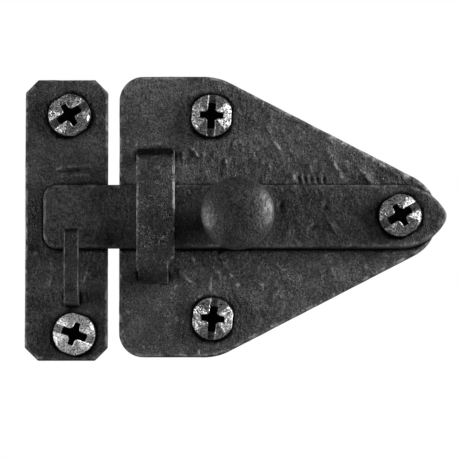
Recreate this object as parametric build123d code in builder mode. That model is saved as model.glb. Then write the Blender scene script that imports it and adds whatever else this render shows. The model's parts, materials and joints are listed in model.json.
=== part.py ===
from build123d import *

import os
from math import asin, cos, degrees, radians, sin, tan

# Gravity gate latch: a pivoted bar lies in a staple-shaped guide, and its free end drops
# behind a square hook on a separate strike plate.
#
# Millimetres. X runs along the bar towards its pivot, +Z is up, and the fronts face -Y.
# The origin is the pivot's axis where it meets the mounting face (y = 0), so "height" below
# means distance in front of that face, and a sketch at a height lies on FRONT.offset(height).

FRONT = Plane.XZ

# --- driving dimensions -----------------------------------------------------------------

plate_thickness = 2.5
edge_break = 0.3  # the hammered-over front edges of the flat pieces
spear_centre_z = 0.3  # the plate sits a little high on its pivot

# Spear plate
spear_left_x = -56.6
spear_height = 56.9
spear_corner_radius = 4.9
spear_shoulder_radius = 11.0
spear_taper = 27.35  # degrees between each long side and the X axis
spear_side_distance = 8.4  # from the pivot's axis to each long side
spear_tip_radius = 8.9

# Strike plate
plate_gap = 2.3
strike_width = 16.7
strike_height = 56.9
strike_centre_z = -0.4
strike_corner_cut = 2.6

# Latch bar
bar_width = 12.7
bar_thickness = 3.2
bar_free_end_x = -71.8
bar_corner_radius = 2.6
bar_nose_side_radius = 10.6
bar_nose_tip_radius = 2.3
bar_end_play = 0.15  # between the bar and the plate, and between the bar and the screw head
pivot_play = 0.05  # radial, between the bar and its bush

# Pivot bush
bush_radius = 3.5
bush_bore_radius = 2.35

# Guide loop
guide_x = -49.2
guide_width = 7.7
guide_strap = 2.4
guide_front_height = 9.2
guide_top_z = 13.65
guide_foot_z = -13.55
guide_splay = 25.0  # degrees, how far the lower leg leans outwards
guide_upper_bend_radius = 2.8
guide_lower_bend_radius = 3.2
guide_inner_bend_radius = 0.8
guide_shoulder_right = 1.3  # what is filed off the lower leg's right side
guide_shoulder_left = 0.4
guide_shoulder_right_z = -8.6
guide_shoulder_left_z = -10.8
guide_tenon_width = 5.0
guide_tenon_inset = 0.2

# Keeper hook
keeper_x = -66.05
keeper_side = 2.9
keeper_bottom_z = -17.85
keeper_tip_z = -2.75
keeper_front_height = 10.0
keeper_tip_round = 1.5  # the tip is hammered over at the front
keeper_tenon_side = 2.3

# Knob
knob_x = -32.7
knob_radius = 7.35
knob_rim_height = 11.7
knob_rim_thickness = 0.7
knob_dome_rise = 3.7
knob_neck_radius = 3.1
knob_neck_flare = 1.6
knob_tenon_radius = 2.4
knob_rivet_radius = 3.1
knob_rivet_depth = 0.8

# Screws: No. 8 wood screws, one inch under a round head with a slot and a cross recess
screw_hole_radius = 2.45
head_radius = 4.55
head_across_flats = 8.0  # between the two flats beside the slot
head_along_flats = 8.7  # between the two flats at the slot's ends
head_height = 3.1
head_facet_angle = 22.0  # slope of the four facets on the head's crown
head_rim_height = 1.1
head_rim_round = 0.6
head_cone_height = 7.0  # where the cone inside the rim would end, if the facets didn't cut it
slot_width = 1.6
slot_floor = 1.05  # above the head's seat
recess_span = 5.05
recess_arm = 1.45
recess_corner_radius = 0.9  # where the cross's arms meet
recess_floor = 0.7
recess_draft = 7.0
neck_radius = 2.25
neck_length = 5.9
shank_radius = 2.05
shank_end = 11.0
screw_length = 25.4
thread_core_radius = 1.45
thread_crest_radius = 2.05
thread_pitch = 1.7
thread_count = 7
thread_crest_width = 0.2
screw_point_length = 3.0

# Screw places: x, z and the slot's angle above the X axis
upper_plate_place = (-37.95, 20.6, 87.0)
lower_plate_place = (-37.7, -20.6, 84.0)
pivot_place = (0.0, 0.0, 30.0)
upper_strike_place = (-66.7, 20.7, 32.0)
lower_strike_place = (-65.6, -23.7, -20.0)

# --- dimensions worked out from those ---------------------------------------------------

SPEAR_FRONT = Plane(origin=(0, 0, spear_centre_z), x_dir=(1, 0, 0), z_dir=(0, -1, 0))
spear_top_z = spear_height / 2
taper_sine = sin(radians(spear_taper))
taper_cosine = cos(radians(spear_taper))
spear_shoulder_x = (spear_side_distance - spear_top_z * taper_cosine) / taper_sine
spear_tip_centre_x = (spear_side_distance - spear_tip_radius) / taper_sine

strike_right_x = spear_left_x - plate_gap
strike_centre_x = strike_right_x - strike_width / 2

bar_back_height = plate_thickness + bar_end_play
bar_front_height = bar_back_height + bar_thickness
bush_length = bar_thickness + 2 * bar_end_play
pivot_seat_height = plate_thickness + bush_length

os.makedirs("parts", exist_ok=True)


def write(piece, label):
    """Name a finished piece and write its file."""
    piece.part.label = label
    export_step(piece.part, f"parts/{label}.step")


def corners_at(outline, x):
    """An outline's corners at x, apart from any on its centreline."""
    return outline.vertices().filter_by(
        lambda corner: abs(corner.X - x) < edge_break and abs(corner.Y) > edge_break
    )


# --- guide loop's profile, needed by the plate as well ----------------------------------

splay_slope = tan(radians(guide_splay))
leg_run = guide_front_height - plate_thickness
lower_bend_z = guide_foot_z + leg_run * splay_slope
lower_leg_section = guide_strap / cos(radians(guide_splay))
inner_height = guide_front_height - guide_strap
inner_bend_z = lower_bend_z - guide_strap * splay_slope + lower_leg_section
upper_tenon_z = guide_top_z - guide_strap / 2
lower_tenon_z = guide_foot_z + lower_leg_section / 2
tenon_depth = guide_strap - 2 * guide_tenon_inset
leg_centre_x = guide_x + (guide_shoulder_left - guide_shoulder_right) / 2
tenon_places = ((guide_x, upper_tenon_z), (leg_centre_x, lower_tenon_z))


# --- spear plate ------------------------------------------------------------------------

with BuildPart() as spear_plate:
    with BuildSketch(SPEAR_FRONT) as spear_outline:
        with BuildLine():
            tangent_x = spear_tip_centre_x + spear_tip_radius * taper_sine
            tangent_z = spear_tip_radius * taper_cosine
            tip_x = spear_tip_centre_x + spear_tip_radius
            long_side = Polyline(
                (tangent_x, tangent_z),
                (spear_shoulder_x, spear_top_z),
                (spear_left_x, spear_top_z),
                (spear_left_x, 0),
            )
            mirror(long_side, about=Plane.XZ)
            ThreePointArc((tangent_x, tangent_z), (tip_x, 0), (tangent_x, -tangent_z))
        make_face()
        fillet(corners_at(spear_outline, spear_left_x), spear_corner_radius)
        fillet(corners_at(spear_outline, spear_shoulder_x), spear_shoulder_radius)
    extrude(amount=plate_thickness)
    chamfer(spear_plate.faces().sort_by(Axis.Y)[0].edges(), edge_break)
    with BuildSketch(FRONT):
        with Locations((0, 0), upper_plate_place[:2], lower_plate_place[:2]):
            Circle(screw_hole_radius)
        with Locations(*tenon_places):
            Rectangle(guide_tenon_width, tenon_depth)
    extrude(amount=plate_thickness, mode=Mode.SUBTRACT)
write(spear_plate, "spear_plate")


# --- guide loop: a strap bent over the bar, with a tenon riveted through the plate at each foot

with BuildPart() as guide_loop:
    with BuildSketch(Plane.YZ.offset(guide_x)) as strap_profile:
        with BuildLine():
            Polyline(
                (-plate_thickness, guide_top_z),
                (-guide_front_height, guide_top_z),
                (-guide_front_height, lower_bend_z),
                (-plate_thickness, guide_foot_z),
                (-plate_thickness, guide_foot_z + lower_leg_section),
                (-inner_height, inner_bend_z),
                (-inner_height, guide_top_z - guide_strap),
                (-plate_thickness, guide_top_z - guide_strap),
                close=True,
            )
        make_face()
        lower_bend = corners_at(strap_profile, -guide_front_height).sort_by(Axis.Y)[0]
        fillet(lower_bend, guide_lower_bend_radius)
        upper_bend = corners_at(strap_profile, -guide_front_height).sort_by(Axis.Y)[-1]
        fillet(upper_bend, guide_upper_bend_radius)
        fillet(corners_at(strap_profile, -inner_height), guide_inner_bend_radius)
    extrude(amount=guide_width / 2, both=True)
    left_x = guide_x - guide_width / 2
    right_x = guide_x + guide_width / 2
    with BuildSketch(FRONT):
        with BuildLine():
            Polyline(
                (left_x, guide_top_z),
                (left_x, guide_shoulder_left_z),
                (left_x + guide_shoulder_left, guide_shoulder_left_z - guide_shoulder_left),
                (left_x + guide_shoulder_left, guide_foot_z),
                (right_x - guide_shoulder_right, guide_foot_z),
                (right_x - guide_shoulder_right, guide_shoulder_right_z - guide_shoulder_right),
                (right_x, guide_shoulder_right_z),
                (right_x, guide_top_z),
                close=True,
            )
        make_face()
    extrude(amount=guide_front_height, mode=Mode.INTERSECT)
    front_edges = guide_loop.faces().sort_by(Axis.Y)[0].edges().filter_by(Axis.Z)
    chamfer(front_edges, edge_break)
    with BuildSketch(FRONT):
        with Locations(*tenon_places):
            Rectangle(guide_tenon_width, tenon_depth)
    extrude(amount=plate_thickness)
write(guide_loop, "guide_loop")


# --- latch bar --------------------------------------------------------------------------

with BuildPart() as latch_bar:
    with BuildSketch(FRONT.offset(bar_back_height)) as bar_outline:
        half_width = bar_width / 2
        nose_centre_z = half_width - bar_nose_side_radius
        nose_sweep = degrees(asin(-nose_centre_z / bar_nose_side_radius)) - 90
        with BuildLine():
            top_edge = Line((bar_free_end_x, half_width), (0, half_width))
            nose_side = CenterArc((0, nose_centre_z), bar_nose_side_radius, 90, nose_sweep)
            free_end = Line((bar_free_end_x, half_width), (bar_free_end_x, 0))
            mirror([top_edge, nose_side, free_end], about=Plane.XZ)
        make_face()
        fillet(bar_outline.vertices().sort_by(Axis.X)[-1], bar_nose_tip_radius)
        fillet(corners_at(bar_outline, bar_free_end_x), bar_corner_radius)
    extrude(amount=bar_thickness)
    chamfer(latch_bar.faces().sort_by(Axis.Y)[0].edges(), edge_break)
    with BuildSketch(FRONT.offset(bar_back_height)):
        Circle(bush_radius + pivot_play)
        with Locations((knob_x, 0)):
            Circle(knob_tenon_radius)
    extrude(amount=bar_thickness, mode=Mode.SUBTRACT)
    # the countersink at the back that the knob's tenon is peened into
    with BuildSketch(FRONT.offset(bar_back_height)):
        with Locations((knob_x, 0)):
            Circle(knob_rivet_radius)
    with BuildSketch(FRONT.offset(bar_back_height + knob_rivet_depth)):
        with Locations((knob_x, 0)):
            Circle(knob_tenon_radius)
    loft(mode=Mode.SUBTRACT)
write(latch_bar, "latch_bar")


# --- knob: one turned piece, its tenon riveted through the bar ---------------------------

with BuildPart() as knob:
    knob_top_height = knob_rim_height + knob_rim_thickness + knob_dome_rise
    with BuildSketch(Plane(origin=(knob_x, 0, 0), x_dir=(1, 0, 0), z_dir=(0, 0, 1))):
        # this sketch's axes are the knob's radius and minus its height
        with BuildLine():
            dome_start = (knob_radius, -(knob_rim_height + knob_rim_thickness))
            EllipticalCenterArc(
                (0, dome_start[1]), knob_radius, knob_dome_rise, start_angle=270, arc_size=90
            )
            Polyline(
                dome_start,
                (knob_radius, -knob_rim_height),
                (knob_neck_radius + knob_neck_flare, -knob_rim_height + knob_rim_thickness),
                (knob_neck_radius, -knob_rim_height + knob_rim_thickness + knob_neck_flare),
                (knob_neck_radius, -bar_front_height),
                (knob_tenon_radius, -bar_front_height),
                (knob_tenon_radius, -(bar_back_height + knob_rivet_depth)),
                (knob_rivet_radius, -bar_back_height),
                (0, -bar_back_height),
                (0, -knob_top_height),
            )
        make_face()
    revolve(axis=Axis((knob_x, 0, 0), (0, 1, 0)))
write(knob, "knob")


# --- pivot bush: a little longer than the bar is thick, so the screw can be driven tight ---

with BuildPart() as pivot_bush:
    with BuildSketch(FRONT.offset(plate_thickness)):
        Circle(bush_radius)
        Circle(bush_bore_radius, mode=Mode.SUBTRACT)
    extrude(amount=bush_length)
write(pivot_bush, "pivot_bush")


# --- strike plate -----------------------------------------------------------------------

with BuildPart() as strike_plate:
    keeper_tenon_z = keeper_bottom_z + keeper_side / 2
    with BuildSketch(FRONT) as strike_outline:
        with Locations((strike_centre_x, strike_centre_z)):
            Rectangle(strike_width, strike_height)
        chamfer(strike_outline.vertices(), strike_corner_cut)
    extrude(amount=plate_thickness)
    chamfer(strike_plate.faces().sort_by(Axis.Y)[0].edges(), edge_break)
    with BuildSketch(FRONT):
        with Locations(upper_strike_place[:2], lower_strike_place[:2]):
            Circle(screw_hole_radius)
        with Locations((keeper_x, keeper_tenon_z)):
            Rectangle(keeper_tenon_side, keeper_tenon_side)
    extrude(amount=plate_thickness, mode=Mode.SUBTRACT)
write(strike_plate, "strike_plate")


# --- keeper hook: a square rod bent up in front of the bar, riveted to the strike plate -----

with BuildPart() as keeper_hook:
    finger_back_height = keeper_front_height - keeper_side
    with BuildSketch(Plane.YZ.offset(keeper_x)) as hook_profile:
        with BuildLine():
            Polyline(
                (-plate_thickness, keeper_bottom_z),
                (-keeper_front_height, keeper_bottom_z),
                (-keeper_front_height, keeper_tip_z),
                (-finger_back_height, keeper_tip_z),
                (-finger_back_height, keeper_bottom_z + keeper_side),
                (-plate_thickness, keeper_bottom_z + keeper_side),
                close=True,
            )
        make_face()
        outer_bend = corners_at(hook_profile, -keeper_front_height).sort_by(Axis.Y)[0]
        fillet(outer_bend, edge_break)
        front_tip = corners_at(hook_profile, -keeper_front_height).sort_by(Axis.Y)[-1]
        fillet(front_tip, keeper_tip_round)
    extrude(amount=keeper_side / 2, both=True)
    with BuildSketch(FRONT):
        with Locations((keeper_x, keeper_tenon_z)):
            Rectangle(keeper_tenon_side, keeper_tenon_side)
    extrude(amount=plate_thickness)
write(keeper_hook, "keeper_hook")


# --- screws -----------------------------------------------------------------------------


def thread_outline():
    """Radius and height of the shank's outline, from the neck to the point, below the seat.

    The helical thread is drawn as rings of the same pitch, core and crest.
    """
    points = [(neck_radius, 0), (neck_radius, -neck_length)]
    points.append((shank_radius, -neck_length - (neck_radius - shank_radius)))
    points.append((shank_radius, -shank_end))
    points.append((thread_core_radius, -shank_end - (shank_radius - thread_core_radius)))
    flank = (thread_pitch - thread_crest_width) / 2
    for ring in range(thread_count):
        crest = -shank_end - (ring + 1) * thread_pitch
        points.append((thread_core_radius, crest + flank))
        points.append((thread_crest_radius, crest + thread_crest_width / 2))
        points.append((thread_crest_radius, crest - thread_crest_width / 2))
    points.append((thread_core_radius, -screw_length + screw_point_length - thread_crest_width))
    points.append((0, -screw_length))
    return points


def wood_screw(place, seat_height):
    """A round-headed wood screw whose head sits at seat_height, its slot along the place's angle."""
    x, z, angle = place
    slot_direction = (cos(radians(angle)), 0, sin(radians(angle)))
    seat = Plane(origin=(x, -seat_height, z), x_dir=slot_direction, z_dir=(0, -1, 0))
    side = Plane(origin=seat.origin, x_dir=seat.x_dir, z_dir=-seat.y_dir)
    across = Plane(origin=seat.origin, x_dir=seat.y_dir, z_dir=seat.x_dir)
    with BuildPart() as screw:
        with BuildSketch(side):
            with BuildLine():
                crown_edge = (head_radius - head_rim_round, head_rim_height + head_rim_round)
                RadiusArc((head_radius, head_rim_height), crown_edge, -head_rim_round)
                Polyline(
                    (head_radius, head_rim_height),
                    (head_radius, 0),
                    (0, 0),
                    (0, head_cone_height),
                    crown_edge,
                )
            make_face()
        revolve(axis=Axis(seat.origin, seat.z_dir))
        # the four flats and the crown's four facets, aligned with the slot and the cross
        for facet_plane, flats in ((side, head_along_flats), (across, head_across_flats)):
            flat = flats / 2
            flat_height = head_height - flat * tan(radians(head_facet_angle))
            with BuildSketch(facet_plane):
                Polygon(
                    (-flat, 0),
                    (flat, 0),
                    (flat, flat_height),
                    (0, head_height),
                    (-flat, flat_height),
                    align=None,
                )
            extrude(amount=head_radius, both=True, mode=Mode.INTERSECT)
        with BuildSketch(seat.offset(slot_floor)):
            Rectangle(2 * head_radius, slot_width)
        extrude(amount=head_height, mode=Mode.SUBTRACT)
        with BuildSketch(seat.offset(head_height)) as cross:
            Rectangle(recess_span, recess_arm)
            Rectangle(recess_arm, recess_span)
            inner_corners = cross.vertices().filter_by(
                lambda corner: max(abs(corner.X), abs(corner.Y)) < recess_arm
            )
            fillet(inner_corners, recess_corner_radius)
        extrude(amount=-(head_height - recess_floor), taper=recess_draft, mode=Mode.SUBTRACT)
        with BuildSketch(side):
            with BuildLine():
                Polyline((0, 0), *thread_outline(), close=True)
            make_face()
        revolve(axis=Axis(seat.origin, seat.z_dir))
    return screw


screws = {
    "upper_plate_screw": (upper_plate_place, plate_thickness),
    "lower_plate_screw": (lower_plate_place, plate_thickness),
    "pivot_screw": (pivot_place, pivot_seat_height),
    "upper_strike_screw": (upper_strike_place, plate_thickness),
    "lower_strike_screw": (lower_strike_place, plate_thickness),
}
for screw_name, (screw_place, screw_seat) in screws.items():
    write(wood_screw(screw_place, screw_seat), screw_name)
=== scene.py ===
import json
import math

import bmesh
import bpy
import numpy as np
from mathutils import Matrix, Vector


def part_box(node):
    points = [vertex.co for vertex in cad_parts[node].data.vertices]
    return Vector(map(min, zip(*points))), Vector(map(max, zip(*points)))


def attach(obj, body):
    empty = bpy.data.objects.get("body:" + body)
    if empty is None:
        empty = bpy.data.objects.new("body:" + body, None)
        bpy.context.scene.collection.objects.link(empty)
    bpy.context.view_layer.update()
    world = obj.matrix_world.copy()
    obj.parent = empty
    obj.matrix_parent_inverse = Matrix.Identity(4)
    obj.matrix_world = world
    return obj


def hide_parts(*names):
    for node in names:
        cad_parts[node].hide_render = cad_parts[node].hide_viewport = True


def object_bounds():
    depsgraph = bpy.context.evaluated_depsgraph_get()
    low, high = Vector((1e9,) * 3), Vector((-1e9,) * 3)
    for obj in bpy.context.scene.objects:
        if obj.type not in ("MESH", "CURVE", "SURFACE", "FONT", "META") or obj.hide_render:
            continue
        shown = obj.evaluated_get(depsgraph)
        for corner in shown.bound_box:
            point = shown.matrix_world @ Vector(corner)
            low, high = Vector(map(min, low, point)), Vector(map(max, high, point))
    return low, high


# Looks for the gravity gate latch. Metres, X along the bar towards its pivot, +Z up, fronts
# facing -Y, the mounting face at y = 0. Each iron piece is a skin grown over its CAD node,
# then hammered, dented and pitted as real geometry. Each screw keeps its CAD head and gets a
# helical thread. Lengths are written as so many MM.

MM = 0.001

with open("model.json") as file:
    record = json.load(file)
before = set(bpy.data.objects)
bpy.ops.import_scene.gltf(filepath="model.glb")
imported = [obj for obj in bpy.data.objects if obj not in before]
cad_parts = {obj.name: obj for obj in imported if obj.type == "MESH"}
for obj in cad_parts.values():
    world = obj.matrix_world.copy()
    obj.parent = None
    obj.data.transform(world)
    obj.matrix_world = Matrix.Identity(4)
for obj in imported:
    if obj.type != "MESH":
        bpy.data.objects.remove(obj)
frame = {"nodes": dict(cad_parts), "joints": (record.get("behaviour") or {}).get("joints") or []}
cad_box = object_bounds()
box_low, box_high = cad_box
box_centre = (box_low + box_high) / 2
mounting_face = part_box("spear_plate")[1].y
plate_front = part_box("spear_plate")[0].y
bar_front, bar_back = (corner.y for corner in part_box("latch_bar"))


# --- patterns ---------------------------------------------------------------------------

TABLE_SIZE = 4096  # random numbers in a pattern's table; a power of two
FAR = 500  # cells: how far from its origin a pattern may start
HASH = (73856093, 19349663, 83492791)  # large primes that scatter neighbouring cells


def value_noise(points, size, seed):
    """Smooth noise from -1 to 1 whose bumps are about `size` across."""
    rng = np.random.default_rng(seed)
    table = rng.uniform(-1, 1, TABLE_SIZE)
    q = points / size + rng.uniform(0, FAR, 3)
    cell = np.floor(q).astype(np.int64)
    t = q - cell
    t = t * t * (3 - 2 * t)
    total = np.zeros(len(points))
    for corner in np.ndindex(2, 2, 2):
        key = (cell + corner) * HASH
        key = key[:, 0] ^ key[:, 1] ^ key[:, 2]
        weight = np.abs(1 - np.array(corner) - t).prod(axis=1)
        total += table[key & (TABLE_SIZE - 1)] * weight
    return total


def layered_noise(points, size, seed, layers=3):
    """Value noise with finer, weaker layers added."""
    total = np.zeros(len(points))
    for layer in range(layers):
        total += value_noise(points, size / 2**layer, seed + layer) / 2**layer
    return total


def hammer_blows(points, size, seed):
    """Shallow bowls side by side on the XZ plane, from 0 at a bowl's floor to 1 on the ridges."""
    rng = np.random.default_rng(seed)
    jitter = rng.uniform(0, 1, (TABLE_SIZE, 3))
    q = points[:, [0, 2]] / size + rng.uniform(0, FAR, 2)
    cell = np.floor(q).astype(np.int64)
    lowest = np.full(len(points), np.inf)
    for dx in (-1, 0, 1):
        for dz in (-1, 0, 1):
            near = cell + (dx, dz)
            key = ((near[:, 0] * HASH[0]) ^ (near[:, 1] * HASH[1])) & (TABLE_SIZE - 1)
            centre = near + jitter[key, :2]
            bowl = ((q - centre) ** 2).sum(axis=1) + 0.5 * jitter[key, 2]
            lowest = np.minimum(lowest, bowl)
    return np.clip(lowest, 0, 1)


def ramp(values, start, end):
    """0 before start, 1 after end, and smooth between them."""
    t = np.clip((values - start) / (end - start), 0, 1)
    return t * t * (3 - 2 * t)


def dent(points, x, z, length, width, angle, skew=0.0):
    """One blow's dent, 1 deep at its middle. A skewed dent is steeper on one side."""
    turn = math.radians(angle)
    dx = points[:, 0] - x
    dz = points[:, 2] - z
    along = (dx * math.cos(turn) + dz * math.sin(turn)) / length
    across = (dz * math.cos(turn) - dx * math.sin(turn)) / width
    lean = 1 + skew * np.tanh(3 * across)
    return np.exp(-(along**2) - across**2) * lean


# --- skins ------------------------------------------------------------------------------

WELD_DISTANCE = 0.001 * MM
SMOOTHING_ROUNDS = 2  # what eases a skin's sharp edges


def link(name, mesh):
    """Put a mesh in the scene as a new object."""
    piece = bpy.data.objects.new(name, mesh)
    bpy.context.scene.collection.objects.link(piece)
    return piece


def applied(piece):
    """Make a piece's modifiers part of its mesh."""
    bpy.context.view_layer.update()
    graph = bpy.context.evaluated_depsgraph_get()
    mesh = bpy.data.meshes.new_from_object(piece.evaluated_get(graph))
    piece.modifiers.clear()
    piece.data = mesh
    return piece


def welded_copy(node):
    """A copy of a CAD node's mesh with its split edges joined. The node keeps its own mesh."""
    mesh = frame["nodes"][node].data.copy()
    shape = bmesh.new()
    shape.from_mesh(mesh)
    bmesh.ops.remove_doubles(shape, verts=shape.verts, dist=WELD_DISTANCE)
    shape.to_mesh(mesh)
    shape.free()
    mesh.materials.clear()
    return mesh


def skin(node, voxel):
    """An even skin of small faces that lies on a CAD node's surface, its edges eased."""
    piece = link(node + "_forged", welded_copy(node))
    remesh = piece.modifiers.new("skin", "REMESH")
    remesh.mode = "VOXEL"
    remesh.voxel_size = voxel
    wrap = piece.modifiers.new("wrap", "SHRINKWRAP")
    wrap.target = frame["nodes"][node]
    wrap.wrap_method = "NEAREST_SURFACEPOINT"
    ease = piece.modifiers.new("ease", "SMOOTH")
    ease.iterations = SMOOTHING_ROUNDS
    return applied(piece)


def per_vertex(mesh, name):
    out = np.empty(len(mesh.vertices) * 3)
    mesh.vertices.foreach_get(name, out)
    return out.reshape(-1, 3)


def positions(mesh):
    return per_vertex(mesh, "co")


def normals(mesh):
    return per_vertex(mesh, "normal")


def move_to(mesh, co):
    mesh.vertices.foreach_set("co", co.ravel())
    mesh.update()


def blurred(mesh, values, rounds):
    """Values averaged with those of the vertices next to them, again and again."""
    edges = np.empty(len(mesh.edges) * 2, np.int64)
    mesh.edges.foreach_get("vertices", edges)
    a, b = edges.reshape(-1, 2).T
    count = np.bincount(np.concatenate([a, b]), minlength=len(values))[:, None]
    values = values.reshape(len(values), -1)
    for _ in range(rounds):
        total = np.empty_like(values)
        for k in range(values.shape[1]):
            total[:, k] = np.bincount(a, values[b, k], len(values))
            total[:, k] += np.bincount(b, values[a, k], len(values))
        values = (values + total / count) / 2
    return values


def store(mesh, name, values):
    """Keep one value per vertex with a mesh, for a material to read."""
    attribute = mesh.attributes.new(name, "FLOAT", "POINT")
    attribute.data.foreach_set("value", values.astype(np.float32))


def keep_relief(mesh, rounds=10):
    """Store how many mm each vertex stands out of its surroundings, for wear and for darker
    hollows.
    """
    co = positions(mesh)
    stands_out = ((co - blurred(mesh, co, rounds)) * normals(mesh)).sum(axis=1) / MM
    store(mesh, "relief", stands_out)


def finish_piece(piece, node, body, material):
    """Give a piece its material, put it on its body, and let it stand for its CAD node."""
    keep_relief(piece.data)
    for polygon in piece.data.polygons:
        polygon.use_smooth = True
    piece.data.materials.clear()
    piece.data.materials.append(material)
    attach(piece, body)
    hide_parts(node)
    return piece


# --- materials --------------------------------------------------------------------------


class Nodes:
    """Short calls that add shader nodes to one material."""

    def __init__(self, name):
        self.material = bpy.data.materials.new(name)
        self.material.use_nodes = True
        self.tree = self.material.node_tree
        self.shader = self.tree.nodes["Principled BSDF"]
        coordinates = self.tree.nodes.new("ShaderNodeTexCoord")
        scale = self.tree.nodes.new("ShaderNodeVectorMath")
        scale.operation = "SCALE"
        scale.inputs["Scale"].default_value = 1 / MM
        self.tree.links.new(coordinates.outputs["Object"], scale.inputs[0])
        self.place = scale.outputs[0]  # millimetres on the object
        self.facing = coordinates.outputs["Normal"]

    def put(self, value, socket):
        """Link a node's output to a socket, or set the socket to a number."""
        if isinstance(value, bpy.types.NodeSocket):
            self.tree.links.new(value, socket)
        else:
            socket.default_value = value

    def noise(self, size, detail=3.0, rough=0.55, shift=0.0, stretch=(1, 1, 1)):
        """Noise of about `size` millimetres, from 0 to 1."""
        mapping = self.tree.nodes.new("ShaderNodeMapping")
        mapping.inputs["Location"].default_value = (shift, shift * 0.7, shift * 1.3)
        mapping.inputs["Scale"].default_value = stretch
        self.tree.links.new(self.place, mapping.inputs["Vector"])
        node = self.tree.nodes.new("ShaderNodeTexNoise")
        node.inputs["Scale"].default_value = 1 / size
        node.inputs["Detail"].default_value = detail
        node.inputs["Roughness"].default_value = rough
        self.tree.links.new(mapping.outputs["Vector"], node.inputs["Vector"])
        return node.outputs["Fac"]

    def stored(self, name):
        """A value kept with the mesh."""
        node = self.tree.nodes.new("ShaderNodeAttribute")
        node.attribute_name = name
        return node.outputs["Fac"]

    def openness(self, reach):
        """1 where the surface lies open, and less in corners and gaps under `reach` millimetres."""
        node = self.tree.nodes.new("ShaderNodeAmbientOcclusion")
        node.samples = 16
        node.inputs["Distance"].default_value = reach * MM
        return node.outputs["AO"]

    def upward(self):
        """How far the surface faces up: 1 on top, 0 upright, -1 underneath."""
        node = self.tree.nodes.new("ShaderNodeSeparateXYZ")
        self.tree.links.new(self.facing, node.inputs[0])
        return node.outputs["Z"]

    def remap(self, value, low, high, to_low=0.0, to_high=1.0):
        """Take low..high smoothly to to_low..to_high, and stay there outside it."""
        node = self.tree.nodes.new("ShaderNodeMapRange")
        node.interpolation_type = "SMOOTHSTEP"
        self.put(value, node.inputs["Value"])
        for name, number in (
            ("From Min", low),
            ("From Max", high),
            ("To Min", to_low),
            ("To Max", to_high),
        ):
            node.inputs[name].default_value = number
        return node.outputs["Result"]

    def maths(self, operation, a, b=0.0):
        node = self.tree.nodes.new("ShaderNodeMath")
        node.operation = operation
        self.put(a, node.inputs[0])
        self.put(b, node.inputs[1])
        return node.outputs[0]

    def times(self, first, *others):
        for other in others:
            first = self.maths("MULTIPLY", first, other)
        return first

    def mix(self, factor, a, b):
        """a where the factor is 0, and b where it is 1."""
        node = self.tree.nodes.new("ShaderNodeMix")
        self.put(factor, node.inputs["Factor"])
        self.put(a, node.inputs["A"])
        self.put(b, node.inputs["B"])
        return node.outputs["Result"]

    def grey(self, value):
        node = self.tree.nodes.new("ShaderNodeCombineColor")
        for channel in ("Red", "Green", "Blue"):
            self.put(value, node.inputs[channel])
        return node.outputs["Color"]

    def bump(self, height, depth, normal=None):
        """Bump whose height runs from 0 to 1 over `depth` millimetres."""
        node = self.tree.nodes.new("ShaderNodeBump")
        node.inputs["Strength"].default_value = 1.0
        node.inputs["Distance"].default_value = depth * MM
        self.put(height, node.inputs["Height"])
        if normal is not None:
            self.tree.links.new(normal, node.inputs["Normal"])
        return node.outputs["Normal"]


BARE_IRON = 0.55
BARE_METALLIC = 0.85
HEAD_SHADE_TONE = 0.004  # the tone of a screw's painted shade, down in its cross and round its rim


def forged_iron(name, tone, wear, pitting, gloss, shift, top_shade=1.0):
    """Matte black iron: blotches, grain, pits, and bare metal where its edges are rubbed.

    `tone` is the black's own tone and `wear` how much metal shows through it. `pitting` scales
    the bump, `gloss` is the lowest roughness, and `shift` moves every pattern. The last argument
    is a painted shade: what is left of the tone where the piece faces up.
    """
    n = Nodes(name)
    blotch = n.noise(7.0, detail=4, shift=shift)
    scale = n.noise(2.4, detail=5, rough=0.7, shift=shift + 1)
    grain = n.noise(0.45, detail=4, rough=0.8, shift=shift + 3)
    relief = n.stored("relief")

    # The black itself, darker in hollows, and darkened by painted shade in gaps and where it faces
    # up.
    unshaded = n.times(
        n.remap(relief, -0.10, -0.02, 0.6, 1.0),
        n.remap(n.openness(1.35), 0.58, 0.95, 0.05, 1.0),
        n.remap(n.upward(), 0.05, 0.6, 1.0, top_shade),
    )
    shade = n.times(
        n.remap(blotch, 0.3, 0.7, 0.65, 1.4),
        n.remap(grain, 0.33, 0.67, 0.2, 2.0),
        n.remap(scale, 0.35, 0.65, 0.65, 1.35),
    )
    black = n.times(shade, tone, unshaded)

    # Bare metal, on rubbed edges and as a dust of fine specks that lie in clusters.
    patchy = n.noise(1.6, detail=4, rough=0.7, shift=shift + 5)
    rubbed = n.times(n.remap(relief, 0.012, 0.06), unshaded, n.remap(patchy, 0.42, 0.62))
    specks = n.noise(0.17, detail=2, rough=0.6, shift=shift + 9)
    cluster = n.noise(3.5, detail=4, rough=0.7, shift=shift + 11)
    dust = n.times(n.remap(specks, 0.55, 0.63), n.remap(cluster, 0.45, 0.62, 0.25, 1.0), unshaded)
    bare = n.times(n.maths("MAXIMUM", rubbed, dust), wear)
    n.put(n.grey(n.mix(bare, black, BARE_IRON)), n.shader.inputs["Base Color"])
    n.put(n.mix(bare, 0.0, BARE_METALLIC), n.shader.inputs["Metallic"])

    # Its sheen, which the painted shade and the darker hollows take away.
    sheen = n.noise(2.2, detail=3, shift=shift + 7)
    n.put(n.remap(sheen, 0.3, 0.7, gloss, gloss + 0.18), n.shader.inputs["Roughness"])
    specular = n.times(unshaded, n.remap(grain, 0.3, 0.7, 0.2, 0.7))
    n.put(specular, n.shader.inputs["Specular IOR Level"])

    # Fine ridges and pits, too small to be geometry.
    ridges = n.noise(0.9, detail=4, rough=0.65, shift=shift + 2, stretch=(1, 1, 0.7))
    pits = n.noise(0.4, detail=3, rough=0.7, shift=shift + 4)
    normal = n.bump(n.remap(ridges, 0.4, 0.7), 0.16 * pitting)
    normal = n.bump(pits, 0.25 * pitting, normal)
    n.put(normal, n.shader.inputs["Normal"])
    return n.material


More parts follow.
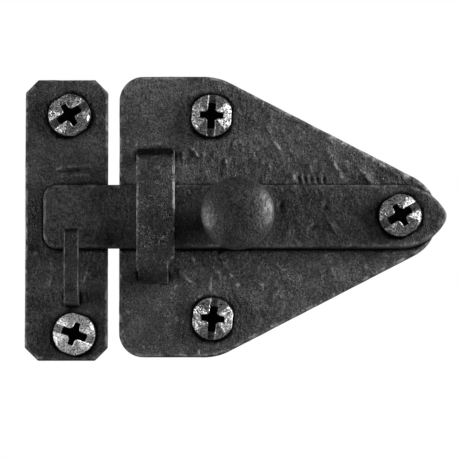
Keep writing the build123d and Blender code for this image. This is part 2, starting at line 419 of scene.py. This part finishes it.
def gunmetal(name, shift, tone, dullness):
    """Blackened steel screw: dark in its hollows, with painted shade in its cross and round its
    rim, rubbed bright on the flats of its head.
    """
    n = Nodes(name)
    cloud = n.noise(1.3, detail=4, rough=0.65, shift=shift)
    grain = n.noise(0.28, detail=3, rough=0.7, shift=shift + 4)
    relief = n.stored("relief")
    shade = n.times(
        n.remap(cloud, 0.3, 0.7, 0.6, 1.4),
        n.remap(grain, 0.37, 0.63, 0.1, 1.9),
        n.remap(relief, -0.08, -0.01, 0.15, 1.0),
    )
    edge = n.times(n.remap(relief, 0.02, 0.08), 0.5)
    steel = n.mix(edge, n.times(shade, tone), 0.6)
    # Painted shade: near black down in the cross and round the rim, and darker in gaps by the
    # plate.
    unshaded = n.times(
        n.remap(n.stored("head_shade"), 0.0, 0.6, 1.0, 0.0),
        n.remap(n.openness(1.2), 0.35, 0.75, 0.1, 1.0),
    )
    n.put(n.grey(n.mix(unshaded, HEAD_SHADE_TONE, steel)), n.shader.inputs["Base Color"])
    n.put(n.times(unshaded, 0.9), n.shader.inputs["Metallic"])
    n.put(n.mix(unshaded, 0.0, 0.5), n.shader.inputs["Specular IOR Level"])
    n.put(n.remap(cloud, 0.3, 0.7, dullness, dullness - 0.13), n.shader.inputs["Roughness"])
    pits = n.noise(0.45, detail=3, rough=0.65, shift=shift + 6)
    n.put(n.bump(pits, 0.12), n.shader.inputs["Normal"])
    return n.material


def plain_steel(name):
    """Turned steel with fine rings from the tool."""
    n = Nodes(name)
    rings = n.noise(0.25, detail=2, shift=2.0, stretch=(0.1, 1, 0.1))
    tone = n.remap(rings, 0.3, 0.7, 0.28, 0.42)
    n.put(n.grey(tone), n.shader.inputs["Base Color"])
    n.shader.inputs["Metallic"].default_value = 1.0
    n.put(n.remap(rings, 0.3, 0.7, 0.3, 0.45), n.shader.inputs["Roughness"])
    n.put(n.bump(rings, 0.01), n.shader.inputs["Normal"])
    return n.material


# --- what forging does to a piece -------------------------------------------------------


def in_front(co, face, start=0.02 * MM, end=0.5 * MM):
    """0 less than `start` in front of a face, and 1 from `end` in front of it."""
    return ramp(face - co[:, 1], start, end)


def clear_of(co, face, start=0.1 * MM):
    """0 in and near the piece that another one is fixed in, and 1 well in front of its face."""
    return in_front(co, face, start, start + 1.0 * MM)


def spot(node, across, up):
    """The x and z of a spot given as shares of a piece's width and height."""
    low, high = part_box(node)
    return low.x + across * (high.x - low.x), low.z + up * (high.z - low.z)


def crusted(co, node, patches):
    """1 on a piece's smoother parts, rising to 3 in the middle of its crusty patches."""
    crust = np.zeros(len(co))
    for across, up, radius in patches:
        x, z = spot(node, across, up)
        crust = np.maximum(crust, dent(co, x, z, radius * MM, radius * MM, 0))
    return 1 + 2 * crust


def faces_front(facing):
    """1 where a surface faces the front, down to 0 on the sides."""
    return ramp(-facing[:, 1], 0.2, 0.8)


def plate_surface(co, facing, seed, blows, roughness):
    """What hammering does to a flat piece's front and edges. Its back stays flat."""
    wave = 0.10 * MM * layered_noise(co, 14 * MM, seed)
    bowls = blows * (hammer_blows(co, 7.5 * MM, seed + 20) - 0.5)
    pits = -0.6 * roughness * ramp(layered_noise(co, 1.8 * MM, seed + 40), 0.35, 1.0)
    ridges = layered_noise(co * (1, 1, 0.7), 1.6 * MM, seed + 60)
    fine = 0.3 * roughness * ridges + 0.6 * roughness * ramp(ridges, 0.35, 1.0)
    front = faces_front(facing)
    edge = 0.04 * MM * layered_noise(co, 2.5 * MM, seed + 80)
    return front * (wave + bowls + pits + fine) + (1 - front) * edge


def marked(co, facing, node, marks):
    """How deep a list of blows has cut into a piece's front."""
    depth = np.zeros(len(co))
    for across, up, length, width, angle, deep, skew in marks:
        x, z = spot(node, across, up)
        depth += deep * MM * dent(co, x, z, length * MM, width * MM, angle, skew)
    return depth * faces_front(facing)


RUB_HEIGHT = 0.1 * MM  # how far a plate may stand up under the bar
bar_pivot = next(joint for joint in frame["joints"] if joint["name"] == "bar_pivot")


def rubbed_down(co, amount):
    """Keep what the bar sweeps over low enough for it to pass. It turns about x = z = 0."""
    low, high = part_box("latch_bar")
    swing_down, swing_up = (math.radians(abs(limit)) for limit in bar_pivot["range_deg"])
    above = high.z + np.abs(co[:, 0]) * math.tan(swing_up)
    below = low.z - np.abs(co[:, 0]) * math.tan(swing_down)
    outside = np.maximum(co[:, 2] - above, below - co[:, 2])
    return np.minimum(amount, RUB_HEIGHT + ramp(outside, 0.2 * MM, 1.5 * MM) * MM)


def forge(node, body, voxel, shape, material):
    """Grow a skin over a CAD node and move it along its normals by shape(points, normals)."""
    piece = skin(node, voxel)
    mesh = piece.data
    co = positions(mesh)
    amount = shape(co, normals(mesh))
    move_to(mesh, co + normals(mesh) * amount[:, None])
    return finish_piece(piece, node, body, material)


# A table of marks has one row for each: shares of the piece's width and height, length and
# width in mm, angle, depth in mm (below 0: a ridge pushed up), and how much gentler its upper
# side is than its lower one. A table of crusty patches has shares of the piece's width and
# height, and a radius in mm.


# --- spear plate ------------------------------------------------------------------------

SPEAR_MARKS = (
    (0.666, 0.694, 3.6, 1.25, -60, -0.36, 0.75),
    (0.698, 0.668, 2.0, 0.55, -58, 0.36, 0.0),
    (0.772, 0.634, 2.2, 0.80, -56, -0.32, 0.75),
    (0.806, 0.640, 1.9, 0.80, -52, 0.32, 0.0),
    (0.850, 0.655, 3.0, 1.80, -27, -0.26, 0.7),
    (0.655, 0.772, 1.4, 0.90, -55, -0.28, 0.7),
    (0.467, 0.808, 1.1, 0.45, -65, -0.22, 0.6),
    (0.492, 0.750, 1.3, 0.80, -55, -0.24, 0.7),
    (0.592, 0.666, 0.8, 0.45, -80, -0.22, 0.5),
    (0.236, 0.722, 1.5, 0.70, -50, -0.24, 0.6),
    (0.210, 0.690, 1.6, 1.10, 20, 0.30, 0.0),
    (0.328, 0.687, 1.5, 1.00, 75, -0.24, -0.6),
    (0.420, 0.705, 0.9, 0.45, -85, -0.20, 0.5),
    (0.200, 0.282, 1.6, 0.95, -40, -0.26, 0.5),
    (0.180, 0.230, 1.2, 0.80, 0, 0.30, 0.0),
    (0.225, 0.350, 1.6, 0.60, -60, -0.22, 0.5),
    (0.330, 0.322, 1.6, 0.90, -75, -0.26, 0.6),
    (0.283, 0.255, 1.5, 0.60, -85, -0.24, 0.5),
    (0.245, 0.246, 1.7, 0.65, 85, 0.26, 0.0),
    (0.440, 0.230, 1.5, 1.40, 0, 0.40, 0.0),
    (0.485, 0.232, 1.7, 1.20, 80, -0.30, -0.6),
    (0.465, 0.292, 1.8, 0.60, 5, -0.24, 0.0),
    (0.500, 0.160, 1.4, 0.80, 60, -0.24, -0.5),
    (0.448, 0.146, 1.2, 0.75, -75, 0.26, 0.0),
    (0.560, 0.329, 1.6, 0.70, 70, -0.22, -0.5),
    (0.653, 0.311, 1.1, 0.60, 80, 0.26, 0.0),
)

# A row of nicks above the bar.
CHATTER_START = 0.566
CHATTER_STEP = 0.019
CHATTER_COUNT = 5
CHATTER = tuple(
    (CHATTER_START + k * CHATTER_STEP, 0.632, 0.9, 0.36, -80, 0.38, 0.0)
    for k in range(CHATTER_COUNT)
)

SPEAR_CRUST = (
    (0.235, 0.700, 3.4),
    (0.425, 0.735, 2.4),
    (0.600, 0.650, 2.6),
    (0.310, 0.310, 3.6),
    (0.200, 0.250, 2.0),
    (0.470, 0.250, 3.2),
)


def spear_plate_shape(co, facing):
    roughness = 0.14 * MM * crusted(co, "spear_plate", SPEAR_CRUST)
    amount = plate_surface(co, facing, seed=11, blows=0.20 * MM, roughness=roughness)
    amount -= marked(co, facing, "spear_plate", SPEAR_MARKS + CHATTER)
    return rubbed_down(co, amount) * in_front(co, mounting_face)


forge(
    "spear_plate", "latch", 0.24 * MM, spear_plate_shape,
    forged_iron("spear_iron", tone=0.050, wear=0.6, pitting=1.0, gloss=0.42, shift=0.0),
)


# --- strike plate -----------------------------------------------------------------------

STRIKE_MARKS = (
    (0.60, 0.672, 3.6, 0.70, 5, 0.42, 0.5),
    (0.62, 0.648, 3.4, 0.55, 3, -0.28, 0.5),
    (0.42, 0.690, 1.2, 0.60, 60, -0.20, 0.5),
    (0.16, 0.395, 1.6, 1.00, 20, 0.30, 0.3),
    (0.24, 0.330, 1.4, 0.80, 70, 0.26, 0.0),
    (0.31, 0.270, 2.2, 0.70, 80, -0.20, 0.3),
    (0.72, 0.300, 1.8, 0.80, 75, -0.22, -0.5),
    (0.90, 0.267, 1.2, 0.50, 80, 0.20, 0.0),
)

STRIKE_CRUST = (
    (0.22, 0.33, 3.0),
    (0.78, 0.33, 3.2),
    (0.50, 0.66, 2.4),
)


def strike_plate_shape(co, facing):
    roughness = 0.09 * MM * crusted(co, "strike_plate", STRIKE_CRUST)
    amount = plate_surface(co, facing, seed=31, blows=0.07 * MM, roughness=roughness)
    amount -= marked(co, facing, "strike_plate", STRIKE_MARKS)
    return rubbed_down(co, amount) * in_front(co, mounting_face)


forge(
    "strike_plate", "strike", 0.25 * MM, strike_plate_shape,
    forged_iron("strike_iron", tone=0.027, wear=0.4, pitting=0.7, gloss=0.42, shift=31.0),
)


# --- latch bar --------------------------------------------------------------------------

BAR_MARKS = (
    (0.607, 0.20, 1.6, 1.00, 80, -0.18, 0.0),
    (0.589, 0.655, 0.9, 0.45, 80, 0.32, 0.0),
    (0.698, 0.635, 0.7, 0.40, 80, 0.28, 0.0),
    (0.670, 0.31, 1.2, 0.45, 50, 0.30, 0.4),
    (0.715, 0.30, 1.4, 0.65, -60, -0.28, 0.7),
    (0.769, 0.52, 0.8, 0.60, 0, 0.22, 0.0),
    (0.800, 0.42, 1.6, 1.60, 0, 0.14, 0.0),
)


def latch_bar_shape(co, facing):
    """Smooth at its free end, where it is handled and rubbed, and rougher past the knob."""
    low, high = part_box("latch_bar")
    along = (co[:, 0] - low.x) / (high.x - low.x)
    rough = plate_surface(co, facing, seed=51, blows=0.05 * MM, roughness=0.09 * MM)
    smooth = plate_surface(co, facing, seed=52, blows=0.025 * MM, roughness=0.03 * MM)
    amount = smooth + ramp(along, 0.5, 0.6) * (rough - smooth)
    amount -= marked(co, facing, "latch_bar", BAR_MARKS)
    return amount * in_front(co, bar_back)


forge(
    "latch_bar", "bar", 0.25 * MM, latch_bar_shape,
    forged_iron("bar_iron", tone=0.030, wear=0.25, pitting=0.6, gloss=0.44, shift=57.0),
)


# --- guide loop -------------------------------------------------------------------------


def guide_loop_shape(co, facing):
    """Uneven and pitted outside, bowed back towards its ends, and plain inside for the bar."""
    low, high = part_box("guide_loop")
    wave = 0.16 * MM * layered_noise(co, 4.0 * MM, seed=71)
    pits = -0.14 * MM * ramp(layered_noise(co, 1.4 * MM, seed=73), 0.3, 1.0)
    height = (co[:, 2] - low.z) / (high.z - low.z) * 2 - 1
    bow = -0.3 * MM * height**2
    outside = ramp(-facing[:, 1], -0.2, 0.6)
    return (wave + pits + bow) * outside * clear_of(co, plate_front)


# Where the guide faces up, its tone is cut by a painted shade.
forge(
    "guide_loop", "latch", 0.2 * MM, guide_loop_shape,
    forged_iron(
        "guide_iron", tone=0.018, wear=0.9, pitting=1.0, gloss=0.46, shift=83.0, top_shade=0.15
    ),
)


# --- keeper hook ------------------------------------------------------------------------


def keeper_hook_shape(co, facing):
    wave = 0.05 * MM * layered_noise(co, 3.0 * MM, seed=91)
    return wave * clear_of(co, plate_front)


# Where the keeper faces up, its tone is cut by a painted shade.
forge(
    "keeper_hook", "strike", 0.15 * MM, keeper_hook_shape,
    forged_iron(
        "keeper_iron", tone=0.014, wear=0.4, pitting=0.4, gloss=0.48, shift=97.0, top_shade=0.3
    ),
)


# --- knob -------------------------------------------------------------------------------


def knob_shape(co, facing):
    wave = 0.06 * MM * layered_noise(co, 6.0 * MM, seed=101)
    fine = 0.012 * MM * layered_noise(co, 1.2 * MM, seed=103)
    return (wave + fine) * clear_of(co, bar_front, start=0.4 * MM)


forge(
    "knob", "bar", 0.2 * MM, knob_shape,
    forged_iron("knob_iron", tone=0.038, wear=0.3, pitting=0.25, gloss=0.30, shift=113.0),
)


# --- screws -----------------------------------------------------------------------------

SCREW_LENGTH = 25.4 * MM
NECK_RADIUS = 2.25 * MM
NECK_LENGTH = 5.9 * MM
SHANK_RADIUS = 2.05 * MM
SHANK_END = 11.0 * MM
CORE_RADIUS = 1.45 * MM
THREAD_PITCH = 1.7 * MM
THREAD_START = SHANK_END - 0.5 * MM
THREAD_FULL = SHANK_END + 1.5 * MM
THREAD_HALF_WIDTH = 0.32  # turns, at the thread's foot
POINT_LENGTH = 4.5 * MM
POINT_CURVE = 0.8  # 1 would be a straight cone
POINT_TIP = 0.02  # how blunt the cone's end is, as a share of its length
CROWN_HEIGHT = 3.1 * MM  # above the seat, on the axis
CROWN_SLOPE = math.tan(math.radians(22))
CROSS_REACH = 2.6 * MM
HEAD_CUT = 0.5 * NECK_LENGTH  # where the CAD screw's shank is cut off
NEW_SHANK_START = 0.6 * HEAD_CUT  # the new one starts inside the neck that is left
SCREW_VOXEL = 0.1 * MM
SHANK_SIDES = 48
RING_STEP = 0.12 * MM


def thread_radius(depth, angle):
    """The screw's radius at a depth below its seat, with the thread wound round it."""
    shank = np.where(depth < NECK_LENGTH, NECK_RADIUS, SHANK_RADIUS)
    taper = np.clip((SCREW_LENGTH - depth) / POINT_LENGTH, POINT_TIP, 1) ** POINT_CURVE
    turn = (depth / THREAD_PITCH - angle / (2 * math.pi)) % 1.0
    ridge = np.clip(1 - np.abs(turn - 0.5) / THREAD_HALF_WIDTH, 0, 1)
    run_in = ramp(depth, THREAD_START, THREAD_FULL)
    core = SHANK_RADIUS + (CORE_RADIUS - SHANK_RADIUS) * run_in
    threaded = core * taper + (SHANK_RADIUS - CORE_RADIUS) * ridge * run_in * np.sqrt(taper)
    return np.where(depth < THREAD_START, shank, threaded)


def shank_mesh(axis_x, axis_z, seat):
    """The shank as one closed skin, down to the point."""
    rows = int((SCREW_LENGTH - NEW_SHANK_START) / RING_STEP)
    angles = np.arange(SHANK_SIDES) * 2 * math.pi / SHANK_SIDES
    shape = bmesh.new()
    rings = []
    for depth in np.linspace(NEW_SHANK_START, SCREW_LENGTH, rows):
        radius = thread_radius(np.full(SHANK_SIDES, depth), angles)
        ring = [
            shape.verts.new((axis_x + r * math.cos(a), seat + depth, axis_z + r * math.sin(a)))
            for r, a in zip(radius, angles)
        ]
        rings.append(ring)
    for above, below in zip(rings, rings[1:]):
        for k in range(SHANK_SIDES):
            shape.faces.new((above[k - 1], above[k], below[k], below[k - 1]))
    shape.faces.new(rings[0])
    shape.faces.new(rings[-1])
    bmesh.ops.recalc_face_normals(shape, faces=shape.faces)
    mesh = bpy.data.meshes.new("shank")
    shape.to_mesh(mesh)
    shape.free()
    return mesh


def keep_head_shade(mesh, axis_x, axis_z, seat):
    """Store where a head gets painted shade: 1 down in its cross, and nearly 1 round its rim."""
    co = positions(mesh)
    out = np.hypot(co[:, 0] - axis_x, co[:, 2] - axis_z)
    above_seat = seat - co[:, 1]
    below_crown = CROWN_HEIGHT - CROWN_SLOPE * out - above_seat
    head_shade = ramp(below_crown, 0.2 * MM, 0.9 * MM) * ramp(above_seat, 0, 0.3 * MM)
    head_shade *= ramp(CROSS_REACH - out, -0.1 * MM, 0.1 * MM)
    head_shade = np.maximum(head_shade, 0.9 * ramp(out, 4.0 * MM, 4.5 * MM))
    store(mesh, "head_shade", head_shade)


def screw(node, body, material, seed):
    """A CAD screw's head with a helical thread below it, in one closed skin."""
    low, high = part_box(node)
    axis_x = (low.x + high.x) / 2
    axis_z = (low.z + high.z) / 2
    seat = high.y - SCREW_LENGTH
    shape = bmesh.new()
    shape.from_mesh(welded_copy(node))
    cut = bmesh.ops.bisect_plane(
        shape,
        geom=list(shape.verts) + list(shape.edges) + list(shape.faces),
        plane_co=(0, seat + HEAD_CUT, 0),
        plane_no=(0, 1, 0),
        clear_outer=True,
    )
    rim = [item for item in cut["geom_cut"] if isinstance(item, bmesh.types.BMEdge)]
    bmesh.ops.holes_fill(shape, edges=rim)
    shape.from_mesh(shank_mesh(axis_x, axis_z, seat))
    mesh = bpy.data.meshes.new(node)
    shape.to_mesh(mesh)
    shape.free()
    piece = link(node + "_steel", mesh)
    remesh = piece.modifiers.new("skin", "REMESH")
    remesh.mode = "VOXEL"
    remesh.voxel_size = SCREW_VOXEL
    ease = piece.modifiers.new("ease", "SMOOTH")
    ease.iterations = SMOOTHING_ROUNDS
    applied(piece)
    co = positions(piece.data)
    worn = 0.035 * MM * layered_noise(co, 1.4 * MM, seed)
    worn *= ramp(seat - co[:, 1], 0.1 * MM, 0.8 * MM)
    move_to(piece.data, co + normals(piece.data) * worn[:, None])
    keep_head_shade(piece.data, axis_x, axis_z, seat)
    return finish_piece(piece, node, body, material)


BLACKENED = {"tone": 0.42, "dullness": 0.37}
# A paler copy of the blackened steel: painted light for the brighter light on one screw's facets.
PAINTED_PALER = {"tone": 1.0, "dullness": 0.58}
SCREWS = (
    ("pivot_screw", "latch", BLACKENED),
    ("upper_plate_screw", "latch", BLACKENED),
    ("lower_plate_screw", "latch", BLACKENED),
    ("upper_strike_screw", "strike", BLACKENED),
    ("lower_strike_screw", "strike", PAINTED_PALER),
)
for number, (node, body, finish) in enumerate(SCREWS):
    metal = gunmetal(node + "_metal", shift=17.0 * number, **finish)
    screw(node, body, metal, seed=200 + number)


# --- pivot bush -------------------------------------------------------------------------

# It is hidden and plain, so it keeps its CAD shape.
bush = frame["nodes"]["pivot_bush"]
bush.data.materials.clear()
bush.data.materials.append(plain_steel("bush_steel"))


# --- stage, light and camera ------------------------------------------------------------

scene = bpy.context.scene
scene.view_settings.view_transform = "Standard"


def pale_floor(height, half):
    """A wide, pale, level floor well below the object."""
    mesh = bpy.data.meshes.new("floor")
    corners = [(-half, -half), (half, -half), (half, half), (-half, half)]
    mesh.from_pydata([(box_centre.x + x, y, height) for x, y in corners], [], [(0, 1, 2, 3)])
    floor = link("floor", mesh)
    n = Nodes("floor_paint")
    n.put(n.grey(n.remap(n.noise(60.0), 0.3, 0.7, 0.78, 0.82)), n.shader.inputs["Base Color"])
    n.shader.inputs["Roughness"].default_value = 0.9
    mesh.materials.append(n.material)


def softbox(name, azimuth, elevation, distance, size, watts):
    """An area light aimed at the object. Azimuth 0 is in front of it and 90 to its right."""
    a, e = math.radians(azimuth), math.radians(elevation)
    away = Vector((math.sin(a) * math.cos(e), -math.cos(a) * math.cos(e), math.sin(e)))
    data = bpy.data.lights.new(name, "AREA")
    data.shape = "RECTANGLE"
    data.size, data.size_y = size
    data.energy = watts
    light = bpy.data.objects.new(name, data)
    light.location = box_centre + away * distance
    light.rotation_euler = (-away).to_track_quat("-Z", "Y").to_euler()
    scene.collection.objects.link(light)


def studio_world(background, ambient):
    """White to the camera, and a soft grey light to everything else."""
    world = bpy.data.worlds.new("studio")
    scene.world = world
    world.use_nodes = True
    tree = world.node_tree
    path = tree.nodes.new("ShaderNodeLightPath")
    mix = tree.nodes.new("ShaderNodeMix")
    mix.inputs["A"].default_value = ambient
    mix.inputs["B"].default_value = background
    tree.links.new(path.outputs["Is Camera Ray"], mix.inputs["Factor"])
    tree.links.new(mix.outputs["Result"], tree.nodes["Background"].inputs["Strength"])
    tree.nodes["Background"].inputs["Color"].default_value = (1, 1, 1, 1)


FLOOR_DROP = 0.6  # metres below the object
FLOOR_HALF = 1.5  # metres from its middle to a side

# Each softbox: name, azimuth and elevation in degrees, distance and size in metres, and watts.
SOFTBOXES = (
    ("key_right", 78, 13, 0.32, (0.2, 0.2), 1.75),
    ("fill_left", -76, -6, 0.45, (0.3, 0.2), 1.5),
    ("facets_right", 44, 4, 0.9, (0.25, 0.6), 0.06),
    ("facets_left", -44, -4, 0.9, (0.25, 0.8), 0.12),
    ("front_low", 10, -45, 0.9, (0.8, 0.4), 0.33),
    ("front_high", -27, 54, 0.9, (0.2, 0.2), 0.4),
)

pale_floor(height=box_low.z - FLOOR_DROP, half=FLOOR_HALF)
for box in SOFTBOXES:
    softbox(*box)
studio_world(background=1.0, ambient=0.02)

VIEW_DISTANCE = 900 * MM
VIEW_TILT = -5.5  # degrees: the eye is a little below the object
VIEW_MARGIN = 1.0883  # the picture's width over the object's
VIEW_WIDTH = VIEW_MARGIN * (box_high.x - box_low.x)
AIM_SHIFT = Vector((-1.33 * MM, 0, -2.26 * MM))  # from the middle of the plates' fronts


def camera():
    """A long lens a little below the object, looking slightly up at it."""
    tilt = math.radians(VIEW_TILT)
    back = Vector((0, -math.cos(tilt), math.sin(tilt)))
    aim = Vector((box_centre.x, plate_front, box_centre.z)) + AIM_SHIFT
    data = bpy.data.cameras.new("camera")
    data.sensor_width = 36.0
    data.lens = data.sensor_width * VIEW_DISTANCE / VIEW_WIDTH
    data.clip_start = 0.01
    eye = bpy.data.objects.new("camera", data)
    eye.location = aim + back * VIEW_DISTANCE
    eye.rotation_euler = (-back).to_track_quat("-Z", "Y").to_euler()
    scene.collection.objects.link(eye)
    scene.camera = eye


camera()
